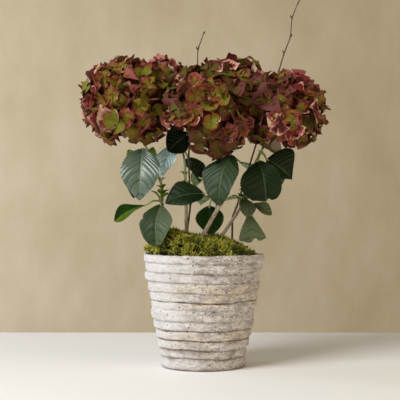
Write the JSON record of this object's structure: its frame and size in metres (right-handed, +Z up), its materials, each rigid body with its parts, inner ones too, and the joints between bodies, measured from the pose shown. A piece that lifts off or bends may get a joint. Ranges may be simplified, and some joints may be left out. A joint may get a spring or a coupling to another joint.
{
  "type": "potted hydrangea",
  "caption": "Mophead hydrangea with autumn-tinted blooms on leafy canes, mossed over in a tapering ridged clay pot with a lime-washed finish.",
  "frame": {"origin": "centre of the pot's flat underside", "axes": "+Z up along the pot's axis; +X towards the right-hand bloom; +Y towards the back of the plant"},
  "size_m": [0.3914, 0.2456, 0.6108],
  "materials": {
    "pot": "matte rough fired clay under a worn white lime wash",
    "soil": "dark moist potting compost",
    "moss": "soft yellow-green living moss",
    "cane": "smooth pale brown shrub bark",
    "bare_shoot": "dry brown bark of dead shoots",
    "foliage": "dark green leaf with a soft sheen",
    "bloom": "matte papery petals, maroon turning to olive green"
  },
  "bodies": {
    "root": {"pot": "pot", "soil": "soil", "moss": "moss", "cane_left": "cane", "cane_tall": "cane", "cane_front": "cane", "cane_right": "cane", "cane_back": "cane", "bare_shoot_left": "bare_shoot", "bare_shoot_right": "bare_shoot", "foliage_left": "foliage", "foliage_tall": "foliage", "foliage_front": "foliage", "foliage_right": "foliage", "foliage_back": "foliage", "bloom_left": "bloom", "bloom_tall": "bloom", "bloom_front": "bloom", "bloom_right": "bloom", "bloom_back": "bloom"}
  },
  "joints": []
}
